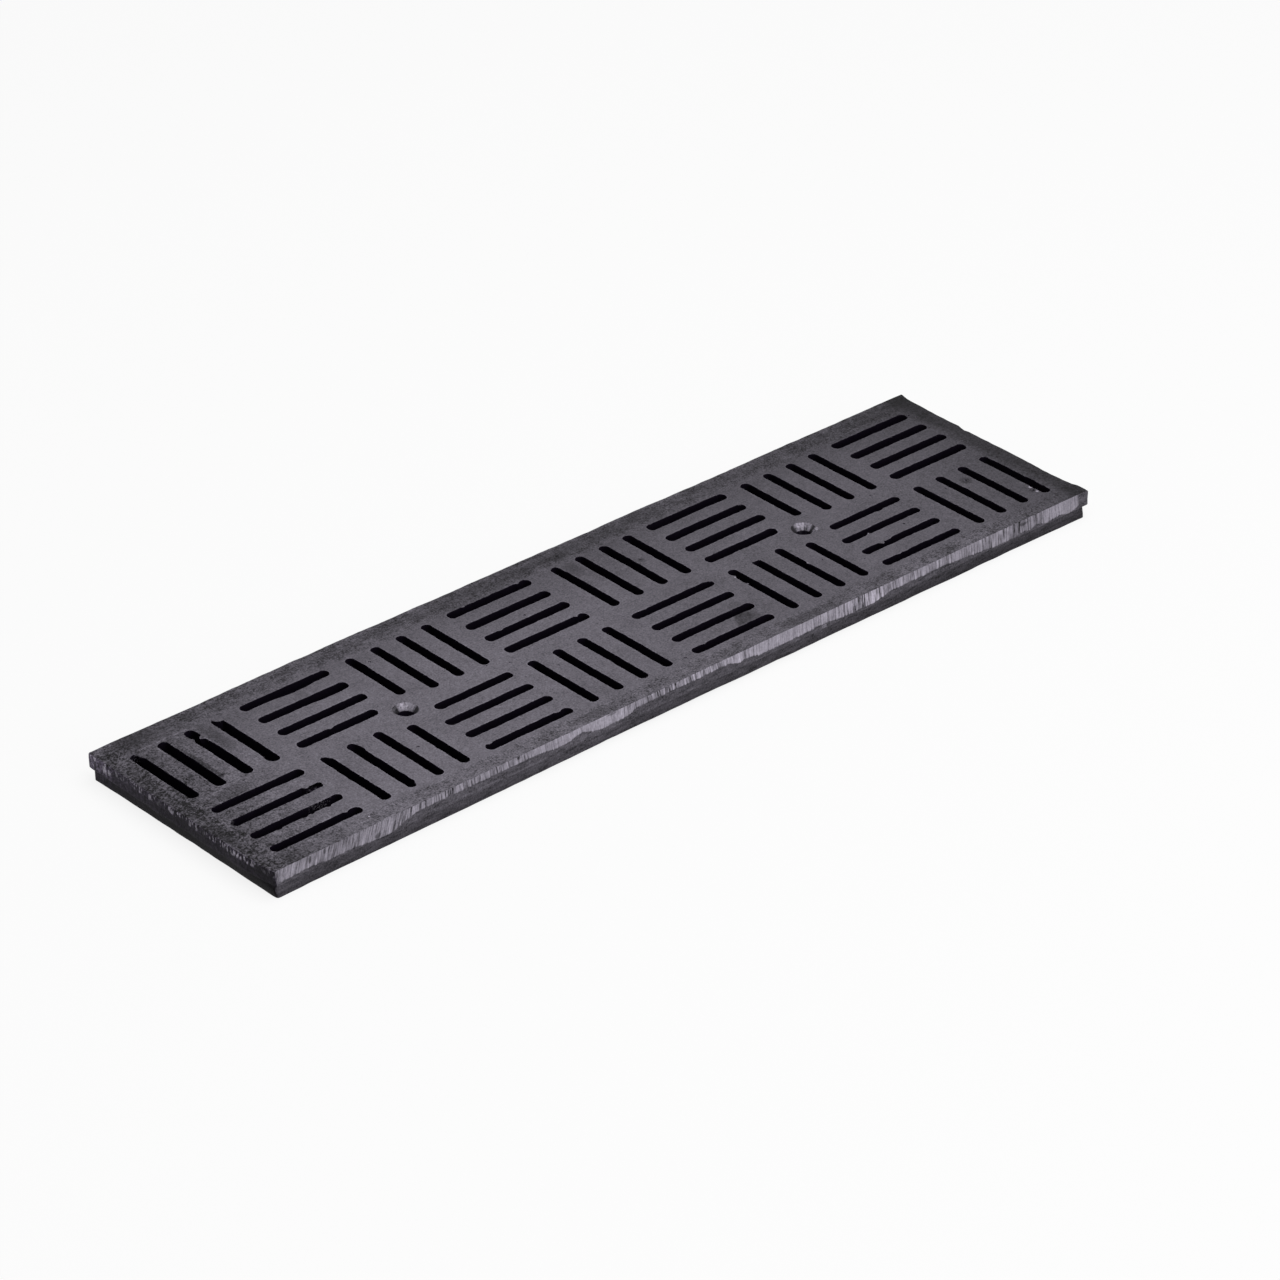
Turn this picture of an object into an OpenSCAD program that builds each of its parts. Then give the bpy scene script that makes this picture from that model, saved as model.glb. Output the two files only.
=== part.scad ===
// Channel drain grate, sand cast in one piece: a flanged deck with a basket-weave of drafted slots,
// a skirt that drops into the channel, a grid of ribs under the bars and two countersunk screw holes.
// X runs along the channel, Y across it, and Z = 0 is the foot of the skirt.

/* [Deck] */
// Length of the deck
deck_l = 500; // [420:1:640]
// Width of the deck
deck_w = 130; // [110:1:180]
// Thickness of the deck
deck_t = 8; // [5:0.5:10]
// Radius of the deck's corners, seen from above
corner_r = 3; // [3:0.5:6]
// Radius on the upper edge of the deck
edge_r = 1; // [0.3:0.1:1.5]

/* [Slots] */
// Number of slot blocks along the grate
columns = 8; // [6:2:10]
// Number of slots in a block
slots = 4; // [3:1:5]
// Width of a slot at the walking surface
slot_w = 5; // [3:0.1:7]
// Angle by which the walls of a slot open downward, in degrees
slot_draft = 4; // [1:0.5:5]
// Solid border beyond the slots at each end
end_border = 11.3; // [10:0.1:20]
// Solid border beyond the slots along each side
side_border = 13; // [10:0.1:20]
// Bar between two blocks of a row
bar_w = 10.7; // [8:0.1:16]
// Bar between the two blocks at mid length
mid_bar_w = 13.2; // [8:0.1:20]
// Bar between the two rows of blocks
spine_w = 11.5; // [8:0.1:16]

/* [Skirt and ribs] */
// Height of the skirt below the deck
skirt_h = 7; // [4:0.5:30]
// Thickness of the skirt where it joins the deck
skirt_t = 7; // [4:0.5:7.5]
// How far the deck stands out past the skirt on every side
lip = 1.8; // [1:0.1:2.2]
// Radius of the skirt's outer corners where they meet the deck
skirt_r = 3; // [2.5:0.5:6]
// Thickness of a rib where it joins the deck
rib_t = 7; // [4:0.5:7.5]
// How far the ribs and bosses end above the foot of the skirt
rib_rise = 1; // [0.5:0.1:2.5]
// Draft of the skirt, the ribs and the bosses, in degrees
rib_draft = 3; // [1:0.5:4]
// Radius of the pockets' upright corners where they meet the deck
pocket_r = 3; // [2:0.5:6]

/* [Screw holes] */
// Number of blocks between a screw hole and the end of the grate
end_blocks = 2; // [1:1:2]
// Bore for the screw
bore_d = 7; // [5:0.1:9]
// Diameter of the countersink at the walking surface
sink_d = 12; // [10:0.1:16]
// Angle of the countersink, in degrees
sink_angle = 90; // [80:1:100]
// Diameter of the boss round the bore where it joins the deck
boss_d = 18; // [15:0.5:20]
// Solid land left round a screw hole, measured along the grate
land_l = 20.4; // [18:0.1:26]
// Solid land left round a screw hole, measured across the grate
land_w = 22.4; // [18:0.1:26]

/* [Hidden] */
$fn = 48;
// Overrun of each cut past the face that it opens
over = 0.5;
block_l = hundredth((deck_l - 2 * end_border - mid_bar_w - (columns - 2) * bar_w) / columns);
block_w = hundredth((deck_w - 2 * side_border - spine_w) / 2);
pocket_end_x = deck_l / 2 - lip - skirt_t;
pocket_side_y = deck_w / 2 - lip - skirt_t;
slot_lean = tan(slot_draft);
rib_lean = tan(rib_draft);
sink_lean = tan(sink_angle / 2);
sink_h = (sink_d - bore_d) / 2 / sink_lean;
relief_l = max(0, (land_l - bar_w) / 2);
relief_w = max(0, (land_w - spine_w) / 2);
screw_x = deck_l / 2 - end_border - end_blocks * block_l - (end_blocks - 0.5) * bar_w;

// A size to the nearest hundredth of a millimetre
function hundredth(size) = round(size * 100) / 100;

// Where the blocks and the bars between them lie along the grate
function block_x(col) =
    let (from_mid = abs(col - (columns - 1) / 2) - 0.5)
    sign(col - (columns - 1) / 2) * (mid_bar_w / 2 + block_l / 2 + from_mid * (block_l + bar_w));
function block_y(row) = (row - 0.5) * (spine_w + block_w);
function bar_x(gap) = (block_x(gap) + block_x(gap + 1)) / 2;

// The side of a column on which a screw hole lies, and the side of a row on which the spine lies
function screw_side(col) =
    col == end_blocks || col == columns - end_blocks ? -1
    : col == end_blocks - 1 || col == columns - end_blocks - 1 ? 1
    : 0;
function spine_side(row) = row == 0 ? 1 : -1;

// Bar along X whose two long faces lean
module leaning_bar(length, half_low, half_high, h) {
    rotate([90, 0, 90])
        linear_extrude(length, center = true)
            polygon([[-half_low, 0], [half_low, 0], [half_high, h], [-half_high, h]]);
}

// Slot-shaped block whose sides lean and whose ends are cones, with their axes span apart
module leaning_slot(span, r_low, r_high, h) {
    for (side = [-1, 1])
        translate([side * span / 2, 0, 0])
            cylinder(h = h, r1 = r_low, r2 = r_high);
    leaning_bar(span, r_low, r_high, h);
}

// Block whose sides lean and whose upright corners are cones; span is the distance between their axes
module leaning_block(span, r_low, r_high, h) {
    translate([-span.x / 2, -span.y / 2, 0])
        cube([span.x, span.y, h]);
    for (side = [-1, 1]) {
        translate([0, side * span.y / 2, 0])
            leaning_slot(span.x, r_low, r_high, h);
        translate([side * span.x / 2, 0, 0])
            rotate([0, 0, 90])
                leaning_bar(span.y, r_low, r_high, h);
    }
}

// Side of the deck in profile, from the middle outward, with its rounded upper edge
module deck_profile(reach) {
    square([reach, deck_t - edge_r]);
    square([reach - edge_r, deck_t]);
    translate([reach - edge_r, deck_t - edge_r])
        circle(edge_r);
}

module deck_slab(length, reach) {
    rotate([90, 0, 90])
        linear_extrude(length, center = true) {
            deck_profile(reach);
            mirror([1, 0])
                deck_profile(reach);
        }
}

// Solid deck with rounded corners and a rounded upper edge all the way round
module deck_blank() {
    span = [deck_l - 2 * corner_r, deck_w - 2 * corner_r];
    translate([0, 0, skirt_h]) {
        deck_slab(span.x, deck_w / 2);
        rotate([0, 0, 90])
            deck_slab(span.y, deck_l / 2);
        for (sx = [-1, 1], sy = [-1, 1])
            translate([sx * span.x / 2, sy * span.y / 2, 0])
                rotate_extrude()
                    deck_profile(corner_r);
    }
}

// Solid block under the deck, set in by the lip, that the pockets turn into skirt and ribs
module skirt_blank() {
    span = [deck_l - 2 * (lip + skirt_r), deck_w - 2 * (lip + skirt_r)];
    leaning_block(span, skirt_r - skirt_h * rib_lean, skirt_r, skirt_h);
}

// One pocket between the ribs, under the block of slots at this column and row, from the rib's edge up
module pocket(col, row) {
    x_low = col == 0 ? -pocket_end_x : bar_x(col - 1) + rib_t / 2;
    x_high = col == columns - 1 ? pocket_end_x : bar_x(col) - rib_t / 2;
    y_mid = (pocket_side_y + rib_t / 2) / 2;
    span = [x_high - x_low - 2 * pocket_r, pocket_side_y - rib_t / 2 - 2 * pocket_r];
    h = skirt_h - rib_rise;
    translate([(x_low + x_high) / 2, -spine_side(row) * y_mid, rib_rise])
        leaning_block(span, pocket_r + h * rib_lean, pocket_r, h);
}

// Shallow cut inside the skirt that leaves the ribs and bosses short of the foot
module rib_recess() {
    span = [2 * (pocket_end_x - pocket_r), 2 * (pocket_side_y - pocket_r)];
    translate([0, 0, -over])
        leaning_block(
            span,
            pocket_r + (skirt_h + over) * rib_lean,
            pocket_r + (skirt_h - rib_rise) * rib_lean,
            rib_rise + over
        );
}

// One slot with full round ends, wider below than at the walking surface
module slot(length) {
    translate([0, 0, skirt_h - over])
        leaning_slot(
            length - slot_w,
            slot_w / 2 + (deck_t + over) * slot_lean,
            slot_w / 2 - over * slot_lean,
            deck_t + 2 * over
        );
}

// One block of slots; blocks with slots along the grate and across it take turns, as in a woven basket.
// The slot beside a screw hole is cut short at that end to leave solid land round the countersink.
module slot_block(col, row) {
    along = (col + row) % 2 == 0;
    length = along ? block_l : block_w;
    pitch = ((along ? block_w : block_l) - slot_w) / (slots - 1);
    hole_end = along ? screw_side(col) : spine_side(row);
    hole_edge = along ? spine_side(row) : screw_side(col);
    relief = along ? relief_l : relief_w;
    translate([block_x(col), block_y(row), 0])
        rotate([0, 0, along ? 0 : 90])
            for (i = [0 : slots - 1]) {
                beside_hole = screw_side(col) != 0 && i == (hole_edge > 0 ? slots - 1 : 0);
                cut = beside_hole ? relief : 0;
                offset = (i - (slots - 1) / 2) * pitch;
                translate([-hole_end * cut / 2, along ? offset : -offset, 0])
                    slot(length - cut);
            }
}

// Boss that carries the bore of a screw hole down between the ribs
module boss(side) {
    h = skirt_h - rib_rise;
    translate([side * screw_x, 0, rib_rise])
        cylinder(h = h, d1 = boss_d - 2 * h * rib_lean, d2 = boss_d);
}

// Through bore with its countersink
module screw_hole(side) {
    top = skirt_h + deck_t;
    translate([side * screw_x, 0, 0]) {
        translate([0, 0, -over])
            cylinder(h = top + 2 * over, d = bore_d);
        translate([0, 0, top - sink_h])
            cylinder(h = sink_h + over, d1 = bore_d, d2 = sink_d + 2 * over * sink_lean);
    }
}

// The casting
module grate() {
    color([0.36, 0.35, 0.38])
        difference() {
            union() {
                difference() {
                    union() {
                        deck_blank();
                        skirt_blank();
                    }
                    rib_recess();
                    for (col = [0 : columns - 1], row = [0, 1])
                        pocket(col, row);
                }
                for (side = [-1, 1])
                    boss(side);
            }
            for (col = [0 : columns - 1], row = [0, 1])
                slot_block(col, row);
            for (side = [-1, 1])
                screw_hole(side);
        }
}

grate();
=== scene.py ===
import math
import bmesh
import bpy
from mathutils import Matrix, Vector, noise


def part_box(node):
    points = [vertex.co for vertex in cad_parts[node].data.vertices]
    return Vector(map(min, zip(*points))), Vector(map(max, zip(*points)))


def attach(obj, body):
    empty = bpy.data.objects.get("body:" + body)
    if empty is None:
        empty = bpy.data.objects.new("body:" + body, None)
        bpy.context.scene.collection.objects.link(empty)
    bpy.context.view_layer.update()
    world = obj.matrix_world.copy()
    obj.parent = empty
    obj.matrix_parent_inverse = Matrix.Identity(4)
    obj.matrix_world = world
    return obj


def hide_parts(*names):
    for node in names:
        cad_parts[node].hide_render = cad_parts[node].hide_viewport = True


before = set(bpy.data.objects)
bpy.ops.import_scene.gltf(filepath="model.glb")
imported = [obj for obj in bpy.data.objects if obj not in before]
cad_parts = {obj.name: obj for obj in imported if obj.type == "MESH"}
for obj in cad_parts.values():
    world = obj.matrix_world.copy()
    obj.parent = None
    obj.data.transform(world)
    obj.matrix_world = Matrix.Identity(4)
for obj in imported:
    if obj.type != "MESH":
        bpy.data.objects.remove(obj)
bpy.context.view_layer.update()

mm = 0.001  # the frame is in metres, and the sizes below are in millimetres
low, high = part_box("grate")
halfLength = high.x / mm
halfWidth = high.y / mm
topZ = high.z / mm


# Small helpers for working as in the viewport

def pickNone():
    if bpy.context.object and bpy.context.object.mode != "OBJECT":
        bpy.ops.object.mode_set(mode="OBJECT")
    bpy.ops.object.select_all(action="DESELECT")


def pick(piece):
    pickNone()
    piece.select_set(True)
    bpy.context.view_layer.objects.active = piece


def editAll(piece):
    pick(piece)
    bpy.ops.object.mode_set(mode="EDIT")
    bpy.ops.mesh.select_all(action="SELECT")


def leaveEdit():
    bpy.ops.object.mode_set(mode="OBJECT")


def choose(piece, kind, test):
    # kind is VERT, EDGE or FACE; test gets places in millimetres, and a face's normal too
    bpy.ops.mesh.select_mode(type=kind)
    bpy.ops.mesh.select_all(action="DESELECT")
    mesh = bmesh.from_edit_mesh(piece.data)
    if kind == "VERT":
        for vert in mesh.verts:
            vert.select = test(vert.co / mm)
    elif kind == "EDGE":
        for edge in mesh.edges:
            edge.select = test(edge.verts[0].co / mm, edge.verts[1].co / mm)
    else:
        for face in mesh.faces:
            face.select = test(face.calc_center_median() / mm, face.normal)
    mesh.select_flush_mode()
    bmesh.update_edit_mesh(piece.data)


def settle(piece):
    pick(piece)
    bpy.ops.object.transform_apply(location=True, rotation=True, scale=True)


def addCube(name, size, middle):
    pickNone()
    bpy.ops.mesh.primitive_cube_add(size=1, location=[v * mm for v in middle])
    piece = bpy.context.object
    piece.name = name
    bpy.ops.transform.resize(value=[v * mm for v in size])
    settle(piece)
    return piece


def copyOf(piece, name, at=(0, 0, 0), turn=0, size=(1, 1, 1)):
    copy = piece.copy()
    copy.data = piece.data.copy()
    copy.name = name
    bpy.context.collection.objects.link(copy)
    copy.location = [v * mm for v in at]
    copy.rotation_euler = (0, 0, turn)
    copy.scale = size
    settle(copy)
    return copy


def joinAll(pieces, name):
    pick(pieces[0])
    for piece in pieces:
        piece.select_set(True)
    bpy.ops.object.join()
    pieces[0].name = name
    return pieces[0]


def applyModifier(piece, kind, **settings):
    pick(piece)
    modifier = piece.modifiers.new(kind.title(), kind)
    for key, value in settings.items():
        setattr(modifier, key, value)
    bpy.ops.object.modifier_apply(modifier=modifier.name)


def cutOrAdd(piece, tool, operation):
    applyModifier(piece, "BOOLEAN", object=tool, operation=operation, solver="EXACT")
    bpy.data.objects.remove(tool)


def bevelEdges(piece, radius, segments, test):
    editAll(piece)
    choose(piece, "EDGE", test)
    bpy.ops.mesh.bevel(offset=radius * mm, segments=segments, affect="EDGES")
    leaveEdit()


def cutFlat(piece, axis, places):
    # flat cuts right through the piece, so that it can be shaped in small cells
    editAll(piece)
    normal = [0, 0, 0]
    normal[axis] = 1
    for place in places:
        point = [0, 0, 0]
        point[axis] = place * mm
        bpy.ops.mesh.select_all(action="SELECT")
        bpy.ops.mesh.bisect(plane_co=point, plane_no=normal)
    leaveEdit()


def evenly(half, cell):
    count = round(2 * half / cell)
    return [(step / count * 2 - 1) * half for step in range(1, count)]


def upright(a, b):
    return abs(a.z - b.z) > 0.5 and abs(a.x - b.x) < 1 and abs(a.y - b.y) < 1


def smooth(value, start=0, end=1):
    t = min(1, max(0, (value - start) / (end - start)))
    return t * t * (3 - 2 * t)


def along(points, value):
    # the height of a line through the points, at this value
    if value <= points[0][0]:
        return points[0][1]
    for (x0, y0), (x1, y1) in zip(points, points[1:]):
        if value <= x1:
            return y0 + (y1 - y0) * (value - x0) / (x1 - x0)
    return points[-1][1]


def bumps(place, scale, seed):
    spot = (place.x / scale + seed, place.y / scale - seed, place.z / scale + 2.3 * seed)
    return noise.noise(Vector(spot))


# The casting's layout, as in the model that the frame was packed from

lay = {
    "deckThickness": 8.0,
    # near left, far left, near right and far right corners, as worn
    "cornerRadii": ((-1, -1, 1.3), (-1, 1, 0.9), (1, -1, 1.0), (1, 1, 1.0)),
    "edgeRadius": 0.7,
    "columns": 8,
    "slots": 4,
    "slotWidth": 5.0,
    "endBorder": 11.3,
    "sideBorder": 13.0,
    "bar": 10.7,
    "midBar": 13.2,
    "spine": 11.5,
    "lip": 1.8,
    "skirtThickness": 7.0,
    "ribThickness": 7.0,
    "ribRise": 1.0,
    "pocketRadius": 3.0,
    "draft": math.tan(math.radians(3)),
    "endBlocks": 2,
    "bore": 7.0,
    "sink": 12.0,
    "boss": 18.0,
    "landLong": 20.4,
    "landAcross": 22.4,
}
skirtHeight = topZ - lay["deckThickness"]
lastColumn = lay["columns"] - 1
solidLength = 2 * lay["endBorder"] + lay["midBar"] + (lay["columns"] - 2) * lay["bar"]
blockLong = (2 * halfLength - solidLength) / lay["columns"]
blockAcross = (2 * halfWidth - 2 * lay["sideBorder"] - lay["spine"]) / 2
endBars = (lay["endBlocks"] - 0.5) * lay["bar"]
screwX = halfLength - lay["endBorder"] - lay["endBlocks"] * blockLong - endBars


def blockX(column):
    side = 1 if column > lastColumn / 2 else -1
    fromMiddle = abs(column - lastColumn / 2) - 0.5
    return side * (lay["midBar"] / 2 + blockLong / 2 + fromMiddle * (blockLong + lay["bar"]))


def blockY(row):
    return (row - 0.5) * (lay["spine"] + blockAcross)


def barX(gap):
    return (blockX(gap) + blockX(gap + 1)) / 2


def screwSide(column):
    if column in (lay["endBlocks"], lay["columns"] - lay["endBlocks"]):
        return -1
    if column in (lay["endBlocks"] - 1, lay["columns"] - lay["endBlocks"] - 1):
        return 1
    return 0


# The deck's solid slab, with rounded edges, cut into small cells that are shaped later

deckForm = {
    "cell": 2.7,
    "underEdge": 0.5,
    # depths of the cuts round the sides
    "sideRows": (1.7, 2.4, 3.1, 3.8, 4.5, 5.2, 5.9, 6.6),
}


def roundCorners(block, segments):
    for sideX, sideY, radius in lay["cornerRadii"]:
        def here(a, b):
            return upright(a, b) and a.x * sideX > 0 and a.y * sideY > 0
        bevelEdges(block, radius, segments, here)


def makeDeck():
    thick = lay["deckThickness"]
    deck = addCube("castGrate", (2 * halfLength, 2 * halfWidth, thick), (0, 0, topZ - thick / 2))
    roundCorners(deck, 5)
    bevelEdges(deck, lay["edgeRadius"], 4, lambda a, b: min(a.z, b.z) > topZ - 0.01)
    bevelEdges(deck, deckForm["underEdge"], 2, lambda a, b: max(a.z, b.z) < topZ - thick + 0.01)
    cutFlat(deck, 0, evenly(halfLength, deckForm["cell"]))
    cutFlat(deck, 1, evenly(halfWidth, deckForm["cell"]))
    cutFlat(deck, 2, [topZ - depth for depth in deckForm["sideRows"]])
    return deck


# The skirt, the ribs and the bosses under the deck

skirtForm = {
    "bite": 1.0,  # how far the block reaches up into the deck
    "footEdge": 0.3,
    "fillet": 1.4,
    "cell": 5.5,
    "pocketCell": 5,
    "sideRows": (2.2, 4.6),
    "hollowRadius": 3.3,
    "bossBite": 0.4,
    "bossEdge": 0.6,
    "bossPoints": 40,
}


def makeLeaningBlock(name, size, bottom, height, lean, radius=0):
    # lean is how far each side moves out from the lower end to the upper one
    block = addCube(name, (size[0], size[1], height), (0, 0, bottom + height / 2))
    editAll(block)
    choose(block, "FACE", lambda centre, normal: normal.z < -0.9)
    bpy.ops.transform.resize(value=((size[0] - 2 * lean) / size[0], (size[1] - 2 * lean) / size[1], 1))
    leaveEdit()
    if radius:
        bevelEdges(block, radius, 4, upright)
    return block


def addSkirt(deck):
    reach = skirtHeight + skirtForm["bite"]
    length = 2 * (halfLength - lay["lip"])
    width = 2 * (halfWidth - lay["lip"])
    skirt = makeLeaningBlock("skirt", (length, width), 0, reach, reach * lay["draft"])
    roundCorners(skirt, 4)
    bevelEdges(skirt, skirtForm["footEdge"], 2, lambda a, b: max(a.z, b.z) < 0.01)
    cutFlat(skirt, 0, evenly(halfLength, skirtForm["cell"]))
    cutFlat(skirt, 1, evenly(halfWidth, skirtForm["cell"]))
    cutFlat(skirt, 2, skirtForm["sideRows"])
    cutOrAdd(deck, skirt, "UNION")


def cutPockets(deck):
    over = 0.5
    endX = halfLength - lay["lip"] - lay["skirtThickness"]
    sideY = halfWidth - lay["lip"] - lay["skirtThickness"]
    depth = skirtHeight - lay["ribRise"]
    grow = depth * lay["draft"] + 0.2
    recess = lay["ribRise"] + over
    size = (2 * (endX + grow), 2 * (sideY + grow))
    lean = -recess * lay["draft"]
    hollow = makeLeaningBlock("hollow", size, -over, recess, lean, skirtForm["hollowRadius"])
    cutOrAdd(deck, hollow, "DIFFERENCE")
    pockets = []
    middleY = (sideY + lay["ribThickness"] / 2) / 2
    for column in range(lay["columns"]):
        lowX = -endX if column == 0 else barX(column - 1) + lay["ribThickness"] / 2
        highX = endX if column == lastColumn else barX(column) - lay["ribThickness"] / 2
        size = (highX - lowX, sideY - lay["ribThickness"] / 2)
        height = depth + over
        pocket = makeLeaningBlock(
            "pocket", size, lay["ribRise"] - over, height, -height * lay["draft"], lay["pocketRadius"],
        )
        bevelEdges(pocket, skirtForm["fillet"], 3, lambda a, b: min(a.z, b.z) > skirtHeight - 0.01)
        cutFlat(pocket, 0, evenly(size[0] / 2, skirtForm["pocketCell"]))
        cutFlat(pocket, 1, evenly(size[1] / 2, skirtForm["pocketCell"]))
        for side in (-1, 1):
            pockets.append(copyOf(pocket, "pocket", ((lowX + highX) / 2, side * middleY, 0)))
        bpy.data.objects.remove(pocket)
    cutOrAdd(deck, joinAll(pockets, "pockets"), "DIFFERENCE")


def addBosses(deck):
    bosses = []
    height = skirtHeight + skirtForm["bossBite"] - lay["ribRise"]
    radius = lay["boss"] / 2
    for side in (-1, 1):
        pickNone()
        bpy.ops.mesh.primitive_cone_add(
            vertices=skirtForm["bossPoints"], radius1=(radius - height * lay["draft"]) * mm,
            radius2=radius * mm, depth=height * mm,
            location=(side * screwX * mm, 0, (lay["ribRise"] + height / 2) * mm),
        )
        boss = bpy.context.object
        settle(boss)
        bevelEdges(boss, skirtForm["bossEdge"], 2, lambda a, b: max(a.z, b.z) < lay["ribRise"] + 0.01)
        bosses.append(boss)
    cutOrAdd(deck, joinAll(bosses, "bosses"), "UNION")


# Slots: one cutter modelled once, copied to every place, then roughened and nicked as the sand mould was

slotForm = {
    "shorter": 0.35,
    "endPoints": 22,
    "spacing": 0.88,
    # height against the walking surface and growth of the outline there; the last ones leave a worn rim
    "levels": (
        (-8.7, 0.6), (-3.8, 0.26), (-0.9, 0.0), (-0.35, 0.04), (-0.12, 0.16), (-0.03, 0.55), (0.35, 1.9),
    ),
    "ripples": ((1.3, 0.2, 1), (3.0, 0.16, 2), (10.0, 0.13, 3)),  # size, strength, seed
    "faultReach": 1.7,
    "faultFade": 0.7,
}

# How far each block of slots lies off its plain place in x and y, and how much wider its slots are:
# the near row and then the far one, from the left end to the right one
slotDrift = (
    (
        (0.1, -0.6, 0.0), (0.4, -0.3, 0.0), (0.4, 0.1, 0.1), (0.1, 0.2, 0.0),
        (0.0, 0.0, 0.1), (-0.1, 0.0, -0.1), (-0.3, -0.3, -0.2), (-0.2, -0.6, -0.1),
    ),
    (
        (-0.5, -0.7, 0.4), (0.0, -0.4, 0.3), (0.0, -0.2, 0.0), (0.0, 0.1, 0.5),
        (0.2, -0.4, 0.1), (0.0, -0.3, 0.45), (0.1, -0.4, 0.1), (0.2, -0.5, 0.45),
    ),
)
# Where the slots depart from plain ones: x, y of a place on the edge, its move in x and y, and the reach
slotFaults = (
    (-234.4, 48.5, -1.3, 0, 3.6), (-203.7, 42.7, -2.2, 0, 2), (-208.7, 43.3, 0.9, 0, 1.9),
    (-204.3, 25, 0.4, 0, 14), (-194, 9, -0.4, 0, 2.5),
    (-192.4, -19.6, 0, -0.8, 4.6), (-196.2, -19.6, 0, -1.5, 1.7),
    (-225, -38.2, 0, -0.7, 1.6), (-211, -38.2, 0, -0.8, 1.4),
    (-207, -38.2, 0, -0.6, 1.4), (-198, -38.2, 0, -0.8, 1.6), (-195.3, -47.1, 0, -0.9, 1.6),
    (-196, -10.7, 0, -0.5, 12),
    (-149, 47.1, 0, -1, 13), (-138, 33.3, 0, -0.8, 16), (-157.4, 10.6, 0, -0.8, 1.6),
    (-173.2, -7.6, -1.4, 0, 2.6), (-158, -12, 0.6, 0, 3), (-158.2, -50.6, -0.9, 0, 2.4),
    (-112.4, 43, 0.4, 0, 4.5), (-113, -47.2, 0, -0.7, 2), (-73, -47.2, 0, -0.8, 2.6),
    (-45, 51.9, 0, -0.7, 1.5), (-12.1, 51.9, 0, -0.7, 1.5), (-45.9, 24.4, 0, -0.7, 1.6),
    (-11.5, 10.6, 0, -0.7, 1.4), (11.4, 48, -0.5, 0, 5),
    (54.8, -6, 0, -0.8, 2.2), (15.8, -47.1, 0, -0.7, 1.4), (16.6, -6, 0, -0.5, 1.4),
    (67.4, -11.5, 0.9, 0, 1.5), (84.8, -5.9, 0, -1.6, 3), (102.2, -25.1, -0.7, 0, 1.6),
    (142.3, -24.4, 0, 0.8, 1.5), (141.5, -33.3, 0, -2.4, 1.7), (145.5, -33.3, 0, -0.8, 4),
    (140.5, -47.1, 0, -0.6, 1.6), (145, -47.1, 0, -0.5, 2), (161, -47.1, 0, -0.3, 3),
    (162.5, -10.7, 0, -0.6, 3), (233.8, -44.6, -0.8, 0, 2), (238.6, -38, 0.4, 0, 5),
)
clog = {"fromX": -195.4, "y": -22.0, "depth": 0.27, "rough": 0.3}
# x, y and radius of metal that has run into the ends of slots
fills = ((-189.9, 50.8, 3.0), (-234.0, 52.4, 1.9))


def makeSlotCutter(length):
    levels = slotForm["levels"]
    width = lay["slotWidth"]
    pickNone()
    bpy.ops.mesh.primitive_circle_add(
        vertices=slotForm["endPoints"], radius=width / 2 * mm, fill_type="NGON",
        location=(0, 0, (topZ + levels[0][0]) * mm), rotation=(0, 0, math.pi / slotForm["endPoints"]),
    )
    slot = bpy.context.object
    settle(slot)
    editAll(slot)
    for side in (-1, 1):
        choose(slot, "VERT", lambda place: place.x * side > 0)
        bpy.ops.transform.translate(value=(side * (length - width) / 2 * mm, 0, 0))
    choose(slot, "EDGE", lambda a, b: (a - b).length > width)
    bpy.ops.mesh.subdivide(number_cuts=round((length - width) / slotForm["spacing"]))
    bpy.ops.mesh.select_all(action="SELECT")
    grown = 0
    for number, (height, grow) in enumerate(levels):
        if number:
            rise = height - levels[number - 1][0]
            bpy.ops.mesh.extrude_region_move(TRANSFORM_OT_translate={"value": (0, 0, rise * mm)})
        bpy.ops.transform.resize(value=(
            (length / 2 + grow) / (length / 2 + grown), (width / 2 + grow) / (width / 2 + grown), 1,
        ))
        grown = grow
    bpy.ops.mesh.select_all(action="SELECT")
    bpy.ops.mesh.normals_make_consistent(inside=False)
    leaveEdit()
    return slot


def slotRelief(runsAlong):
    # how much shorter a slot beside a screw hole is
    return (lay["landLong"] - lay["bar"]) / 2 if runsAlong else (lay["landAcross"] - lay["spine"]) / 2


def placeBlock(column, row, full, short):
    runsAlong = (column + row) % 2 == 0
    spread = (blockAcross if runsAlong else blockLong) - lay["slotWidth"]
    toSpine = 1 if row == 0 else -1
    holeEnd = screwSide(column) if runsAlong else toSpine
    holeEdge = toSpine if runsAlong else screwSide(column)
    nearHole = lay["slots"] - 1 if holeEdge > 0 else 0
    driftX, driftY, wider = slotDrift[row][column]
    cutters = []
    for number in range(lay["slots"]):
        offset = (number / (lay["slots"] - 1) - 0.5) * spread
        beside = screwSide(column) != 0 and number == nearHole
        shift = -holeEnd * slotRelief(runsAlong) / 2 if beside else 0
        x, y = (shift, offset) if runsAlong else (offset, shift)
        cutters.append(copyOf(
            short if beside else full, "slotCutter",
            (blockX(column) + x + driftX, blockY(row) + y + driftY, 0),
            0 if runsAlong else math.pi / 2, (1, 1 + wider / lay["slotWidth"], 1),
        ))
    return cutters


def placeSlotCutters():
    cutters = []
    for runsAlong in (True, False):
        length = (blockLong if runsAlong else blockAcross) - slotForm["shorter"]
        full = makeSlotCutter(length)
        short = makeSlotCutter(length - slotRelief(runsAlong))
        for column in range(lay["columns"]):
            for row in (0, 1):
                if ((column + row) % 2 == 0) == runsAlong:
                    cutters += placeBlock(column, row, full, short)
        bpy.data.objects.remove(full)
        bpy.data.objects.remove(short)
    return joinAll(cutters, "slotCutters")


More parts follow.
